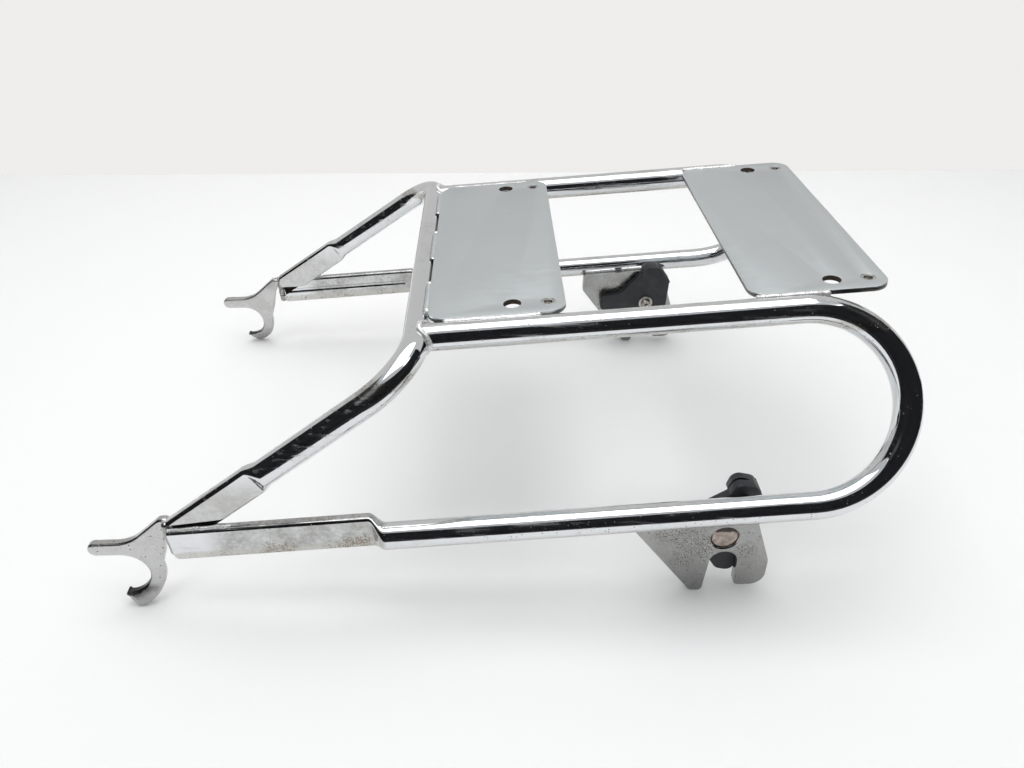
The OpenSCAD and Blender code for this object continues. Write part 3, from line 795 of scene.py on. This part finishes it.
def beadRun(name, paths, radius, ripples, pitch=bead["pitch"], wander=0.0002):
    # paths are lists of points in the row frame, each one run of weld; radius in millimetres
    rng = random.Random(name)
    verts, edges = [], []
    for path in paths:
        first = len(verts)
        for k, point in enumerate(path):
            shift = Vector([rng.uniform(-wander, wander) for _ in range(3)])
            verts.append(tuple(Vector(point) + shift))
            if k:
                edges.append((first + k - 1, first + k))
    mesh = bpy.data.meshes.new(name)
    mesh.from_pydata(verts, edges, [])
    obj = bpy.data.objects.new(name, mesh)
    collection.objects.link(obj)
    return followRule(obj, *ripples, {"Radius": radius / 1000, "Pitch": pitch, "Flatten": bead["flatten"]})


# along the back of the lever's thumb grip, round the pivot
grip = {"from": (10.4, 33.3), "to": (17.7, 22.9), "ribs": 7, "radius": 0.8, "inner": -12.2, "outer": -0.4,
        "leverGap": 0.9}


def rodTree(material):
    tree, ids, put = ruleTree("gripRods", {"Radius": 0.001, "Length": 0.01})
    start = put("NodeGroupInput")
    rod = put("GeometryNodeMeshCylinder", (), {"Vertices": 12, "Radius": start.outputs["Radius"],
                                               "Depth": start.outputs["Length"]})
    spread = put("GeometryNodeInstanceOnPoints", (),
                 {"Points": start.outputs["Geometry"], "Instance": rod.outputs["Mesh"],
                  "Rotation": (math.pi / 2, 0, 0)})
    real = put("GeometryNodeRealizeInstances", (), {0: spread.outputs[0]})
    painted = put("GeometryNodeSetMaterial", (), {0: real.outputs[0], "Material": material})
    put("NodeGroupOutput", (), {0: painted.outputs[0]})
    return tree, ids


def gripRibs(name, side, turn, rods):
    middle = dockIn - grip["leverGap"] + (grip["inner"] + grip["outer"]) / 2
    c, s = math.cos(math.radians(turn)), math.sin(math.radians(turn))
    points = []
    for k in range(grip["ribs"]):
        x, z = Vector(grip["from"]).lerp(Vector(grip["to"]), k / (grip["ribs"] - 1))
        points.append(rowPoint(pivot["x"] + x * c + z * s, side * middle, pivot["z"] - x * s + z * c))
    obj = followRule(newMesh(name, points, []), *rods, {
        "Radius": grip["radius"] / 1000, "Length": (grip["outer"] - grip["inner"]) / 1000})
    return smoothByAngle(obj)


def lineOf(a, b, steps):
    return [a.lerp(b, k / steps) for k in range(steps + 1)]


def deckRun(start, end, step=4.0):  # straight run between two points of the deck's frame
    steps = max(2, int(math.dist(start, end) / step))
    return lineOf(deckPoint(*start), deckPoint(*end), steps)


chrome = chromePaint("chromePlating", deckPoint(deck["crossbarX"] - 30, 0, deck["height"]).x,
                     mottle=(*deckX(20, 40, 112), 0.100), blotched=0.50, pitsAndReflection=(deck["height"],))
# rust along the lower half of the flattened bars: x, height from the bar's middle, radius, amount
barRust = [(114, -7, 0.010, 0.55), (123, -6, 0.009, 0.6), (158, -6, 0.009, 0.6), (166, -5, 0.008, 0.7)]
chromeBars = chromePaint("chromePlatingSides", deckPoint(loop["bendX"], 0, midHeight).x, [
    (deckPoint(x, side * (lowHalfWidth - 1), barMid + h), radius, amount)
    for side in (-1, 1) for x, h, radius, amount in barRust],
    pitShare=0.34, dullness=1.5, mottle=(*deckX(70, 90, 180), 0.090), pitsAndReflection=(deck["height"], lowHeight))
holeX = plate["length"] - plate["holeEdge"] - plate["holePitch"]
platePlating = platePaint([deckPoint(x + holeX, side * plate["holeHalf"], plateTop - 1.5)
                           for x in (plate["frontX"], plate["rearX"]) for side in (-1, 1)])
# hook steel, with painted shade in the lower half of its throat
hookSteel = dockPaint("hookSteel", (0.62, 0.62, 0.62), (0.50, 0.495, 0.49), throatShade=(
    rowPoint(hookShape["throat"][0], 0, hookShape["throat"][1]), hookShape["throatRadius"] / 1000))
seamSteel = dockPaint("seamSteel", (0.50, 0.50, 0.495), (0.30, 0.295, 0.285))
# rust specks on the brackets: x from the pivot, height above the floor, radius
bracketRust = [(-24, 46, 0.017), (-12, 38, 0.014), (-36, 50, 0.012), (14, 34, 0.009), (-24, 26, 0.010)]
bracketSteel = dockPaint("bracketSteel", (0.44, 0.44, 0.435), (0.33, 0.33, 0.32), [
    (rowPoint(pivot["x"] + x, side * dockOut, z), radius)
    for side in (-1, 1) for x, z, radius in bracketRust])
pinSteel = pinPaint()
leverBlack = leverPaint()
fastenerSteel = smallPlating("fastenerPlating", 400, (0.56, 0.53, 0.49), (0.36, 0.33, 0.29), 0.28, 0.48)
nutSteel = smallPlating("nutPlating", 500, (0.74, 0.74, 0.73), (0.44, 0.41, 0.37), 0.2, 0.4)
weldSteel = weldPaint()
tubeInside = insidePaint()
print("materials made:", len(bpy.data.materials))

keep(frontHoop(chrome, tubeInside), "rack", "chromed_tube", "front_hoop")
for name, side in (("left_side_tube", -1), ("right_side_tube", 1)):
    keep(sideTube(name, side, chromeBars, tubeInside), "rack", "chromed_tube", name)
print("tubes made")

# bevel widths in millimetres; the bracket's top edge is cut off below the tube's side
bevels = {"plate": 0.7, "nut": 0.25, "bracket": 0.6, "pin": 0.4, "fastener": 0.15, "lever": 0.9}
bracketCut = {"from": 300, "to": 440, "drop": 2, "over": 20, "beyond": 3}
for name in ("front_plate", "rear_plate"):
    keep(finishNode(name, platePlating, bevels["plate"]), "rack", "plate", name)
rods = rodTree(leverBlack)
for sideName, side in (("left", -1), ("right", 1)):
    for end in ("front", "rear"):
        nut = sideName + "_" + end + "_clinch_nut"
        keep(finishNode(nut, nutSteel, bevels["nut"], 2), "rack", "plated_nut", nut)
    keep(hookPiece(sideName + "_hook_finish", side, hookSteel), "rack", "dock_steel", sideName + "_hook")
    bracket = sideName + "_latch_bracket"
    plateBelow = finishNode(bracket, bracketSteel, bevels["bracket"])
    outline = rectangle(bracketCut["from"], bracketCut["to"], lowHeight - bracketCut["drop"],
                        lowHeight + bracketCut["over"])
    cutBy(plateBelow, [prism("bracketTop", outline, deckPoint, *sorted(
        (side * (dockIn - bracketCut["beyond"]), side * (dockOut + bracketCut["beyond"]))))])
    keep(smoothByAngle(plateBelow), "rack", "dock_steel", bracket)
    pin = sideName + "_pivot_pin"
    keep(finishNode(pin, pinSteel, bevels["pin"]), "rack", "pin_steel", pin)
    for part in ("wave_washer", "washer", "screw"):
        small = sideName + "_" + part
        keep(finishNode(small, fastenerSteel, bevels["fastener"], 2), "rack", "fastener_steel", small)
    lever = sideName + "_latch_lever"
    keep(finishNode(lever, leverBlack, bevels["lever"], 4), sideName + "_lever", "black_lever", lever)
    keep(gripRibs(sideName + "_grip_ribs", side, pivot["leftTurn"] if side < 0 else 0, rods),
         sideName + "_lever", "black_lever")
print("plates, docking pieces and levers made")

ripples, satinRipples, plainRipples = beadTree(weldSteel), beadTree(seamSteel), beadTree(platePlating)
# stitches from y to y; drops are below the plate's top, leads ahead of its front edge
frontSeam = {"stitches": [(-88, -57.5), (-20, 18), (55, 88)], "lead": 1.0, "drop": 1.9, "radius": 2.1,
             "edgeFrom": 11, "edgeTo": 63, "edgeDrop": 1.6, "edgeRadius": 1.9,
             "slotEnds": (-55.5, 20.0, -89.5), "endLead": 0.8, "endDrop": 1.5, "endLength": 0.9}
rearSeam = {"edgeFrom": 4, "edgeTo": 42, "edgeDrop": 1.4, "radius": 2.1}
bracketSeam = {"starts": (328, 360), "length": 24, "inset": 0.6, "drop": 1.4, "radius": 1.7}


def plateEdges(x, seam):
    return [deckRun((x + seam["edgeFrom"], side * (plate["width"] / 2 + 1), plateTop - seam["edgeDrop"]),
                    (x + seam["edgeTo"], side * (plate["width"] / 2 + 1), plateTop - seam["edgeDrop"]))
            for side in (-1, 1)]


x, h = plate["frontX"] - frontSeam["lead"], plateTop - frontSeam["drop"]
paths = [deckRun((x, y0, h), (x, y1, h)) for y0, y1 in frontSeam["stitches"]]
keep(beadRun("front_stitch_ripples", paths, frontSeam["radius"], plainRipples, wander=0.0001), "rack", "weld",
     "front_plate_welds")
# bright rounded ends of the slots between the stitches
x, h = plate["frontX"] - frontSeam["endLead"], plateTop - frontSeam["endDrop"]
paths = plateEdges(plate["frontX"], frontSeam)
paths += [deckRun((x, y, h), (x, y + frontSeam["endLength"], h), 0.4) for y in frontSeam["slotEnds"]]
keep(beadRun("front_plate_weld_ripples", paths, frontSeam["edgeRadius"], ripples), "rack", "weld")
keep(beadRun("rear_plate_weld_ripples", plateEdges(plate["rearX"], rearSeam), rearSeam["radius"], ripples),
     "rack", "weld", "rear_plate_welds")
for sideName, side in (("left", -1), ("right", 1)):
    y, h = side * (dockOut - bracketSeam["inset"]), lowHeight - bracketSeam["drop"]
    paths = [deckRun((x, y, h), (x + bracketSeam["length"], y, h)) for x in bracketSeam["starts"]]
    keep(beadRun(sideName + "_bracket_weld_ripples", paths, bracketSeam["radius"], ripples), "rack", "weld",
         sideName + "_bracket_welds")
    # down the hook's neck, behind its rear edge
    front, low = loop["barFront"], barTop - loop["barHeight"] + 3
    paths = [lineOf(deckPoint(front - 2.2, side * (dockOut + 1.3), low),
                    deckPoint(front - 1.4, side * (dockOut + 1.6), barTop + 1.0), 6)]
    keep(beadRun(sideName + "_hook_weld_ripples", paths, 2.5, satinRipples, pitch=0.0008, wander=0.0004),
         "rack", "weld", sideName + "_hook_weld")
    # bright run over the bar's top, under the leg's open end, and a lump on the hook's neck
    y = side * (barY + 0.8)
    paths = [deckRun((front + 1, y, barTop - 0.2), (front + 36, y, barTop - 0.2), 3.0),
             lineOf(deckPoint(front - 5.5, side * (dockOut - 1.5), barTop + 2.6),
                    deckPoint(front + 0.5, side * (dockOut + 0.4), barTop + 1.2), 3)]
    keep(beadRun(sideName + "_leg_weld_ripples", paths, 1.3, ripples, pitch=0.0007, wander=0.0004),
         "rack", "weld")
    # round the upper tube's mouth at the crossbar
    ring = []
    for y, h in arc((side * deck["halfWidth"], deck["height"]), (tube["radius"] + 0.4,) * 2, 0, 360, 32):
        rise = min(abs(h - deck["height"]), tube["radius"])
        mouth = math.sqrt(max(tube["radius"] ** 2 - rise ** 2, 0))
        ring.append(deckPoint(deck["crossbarX"] + max(mouth, 3.0), y, h))
    keep(beadRun(sideName + "_corner_weld_ripples", [ring], 1.7, ripples), "rack", "weld",
         sideName + "_corner_weld")
print("welds made")


studio = {"floor": (0.93, 0.93, 0.925), "wall": (0.84, 0.83, 0.815), "wallDistance": 0.60, "wallHeight": 2.4,
          "reach": 3, "wallGlow": 1.025, "wallMirrored": 0.74, "sky": (0.92, 0.94, 0.96),
          "worldLevel": 0.58, "overhead": 11.8, "frontLeft": 4.5, "right": 3.6}


def plainPaint(name, colour, rough):
    return Paint(name, Base_Color=(*colour, 1), Roughness=rough).material


def backdropPaint(name, shown, glow, mirrored):
    # shown plainly to the camera, dimmer in reflections, and an ordinary pale surface to the light
    paint = Paint(name, Base_Color=(*shown, 1), Roughness=0.7)
    rays = paint.node("ShaderNodeLightPath", {}, {}).outputs
    seen, glossy, through = (Wire(paint, rays["Is " + kind + " Ray"])
                             for kind in ("Camera", "Glossy", "Transmission"))
    shine = paint.add("ShaderNodeEmission", {}, {0: (*shown, 1), 1: seen * (glow - mirrored) + mirrored})
    mix = paint.add("ShaderNodeMixShader", {}, {
        0: seen.atLeast(glossy).atLeast(through), 1: Wire(paint, paint.shader.outputs[0]), 2: shine})
    paint.tree.links.new(mix.socket, paint.tree.nodes["Material Output"].inputs[0])
    return paint.material


def flat(name, corners, material):
    setMaterial(newMesh(name, corners, [(0, 1, 2, 3)]), material)


wide, back, high = studio["reach"], studio["wallDistance"], studio["wallHeight"]
flat("floor", [(-wide, -wide, 0), (wide, -wide, 0), (wide, back, 0), (-wide, back, 0)],
     plainPaint("floorPaper", studio["floor"], 0.75))
flat("wall", [(-wide, back, 0), (wide, back, 0), (wide, back, high), (-wide, back, high)],
     backdropPaint("wallPaper", studio["wall"], studio["wallGlow"], studio["wallMirrored"]))

world = bpy.data.worlds.new("studioWorld")
scene.world = world
world.use_nodes = True
sky = world.node_tree.nodes["Background"].inputs
sky[0].default_value = (*studio["sky"], 1)
sky[1].default_value = studio["worldLevel"]


def areaLight(name, place, aim, size, sizeY):
    data = bpy.data.lights.new(name, "AREA")
    data.shape = "RECTANGLE"
    data.size = size
    data.size_y = sizeY
    data.energy = studio[name]
    obj = bpy.data.objects.new(name, data)
    collection.objects.link(obj)
    obj.location = place
    obj.rotation_euler = (Vector(aim) - Vector(place)).to_track_quat("-Z", "Y").to_euler()


areaLight("overhead", (0.0, 0.1, 1.5), (0, 0, 0), 1.3, 1.2)
areaLight("frontLeft", (-1.3, -1.4, 1.9), (0, 0, 0.05), 0.7, 0.7)
areaLight("right", (1.5, -0.6, 1.9), (0, 0, 0.05), 0.7, 0.7)

# dark cards at the front and the sides, seen only in the object's reflections: the unlit
# room beyond the white table, from the table's edge up
cards = {"radius": 1.2, "top": 54, "from": 168, "to": 372, "steps": 30, "rows": 6,
         "edgeFront": 0.42, "edgeSide": 0.75, "lift": 0.002, "colour": (0.010, 0.010, 0.012)}
domeVerts, domeFaces = [], []
for k in range(cards["steps"] + 1):
    t = math.radians(cards["from"] + (cards["to"] - cards["from"]) * k / cards["steps"])
    # floor's dark edge, then up the dome
    edge = 1 / math.sqrt((math.cos(t) / cards["edgeSide"]) ** 2 + (math.sin(t) / cards["edgeFront"]) ** 2)
    domeVerts.append((edge * math.cos(t), edge * math.sin(t), cards["lift"]))
    for row in range(cards["rows"] + 1):
        e = math.radians(cards["top"] * row / cards["rows"])
        domeVerts.append((cards["radius"] * math.cos(e) * math.cos(t),
                          cards["radius"] * math.cos(e) * math.sin(t),
                          cards["lift"] + cards["radius"] * math.sin(e)))
rowCount = cards["rows"] + 2
for k in range(cards["steps"]):
    for row in range(rowCount - 1):
        a = k * rowCount + row
        domeFaces.append((a, a + 1, a + 1 + rowCount, a + rowCount))
darkRoom = newMesh("darkCards", domeVerts, domeFaces)
setMaterial(darkRoom, plainPaint("darkCard", cards["colour"], 0.95))
for ray in ("camera", "diffuse", "shadow", "transmission"):
    setattr(darkRoom, "visible_" + ray, False)

# camera matched to the photo's lines
view = {"place": (-0.0011, -0.5009, 0.3924), "yaw": 1.687, "pitch": 34.125, "roll": 0.285,
        "focalPixels": 816.5, "imageWidth": 1024}
camData = bpy.data.cameras.new("camera")
camData.sensor_fit = "HORIZONTAL"
camData.sensor_width = 36.0
camData.lens = 36.0 * view["focalPixels"] / view["imageWidth"]
camData.clip_start = 0.01
camData.clip_end = 50
camera = bpy.data.objects.new("camera", camData)
collection.objects.link(camera)
yaw, pitch, roll = (math.radians(view[k]) for k in ("yaw", "pitch", "roll"))
forward = Vector((math.sin(yaw) * math.cos(pitch), math.cos(yaw) * math.cos(pitch), -math.sin(pitch)))
level = Vector((math.cos(yaw), -math.sin(yaw), 0))
upright = level.cross(forward)
right = math.cos(roll) * level + math.sin(roll) * upright
up = -math.sin(roll) * level + math.cos(roll) * upright
turn = Matrix((right, up, -forward)).transposed()
camera.matrix_world = Matrix.Translation(Vector(view["place"])) @ turn.to_4x4()
scene.camera = camera
print("stage set")
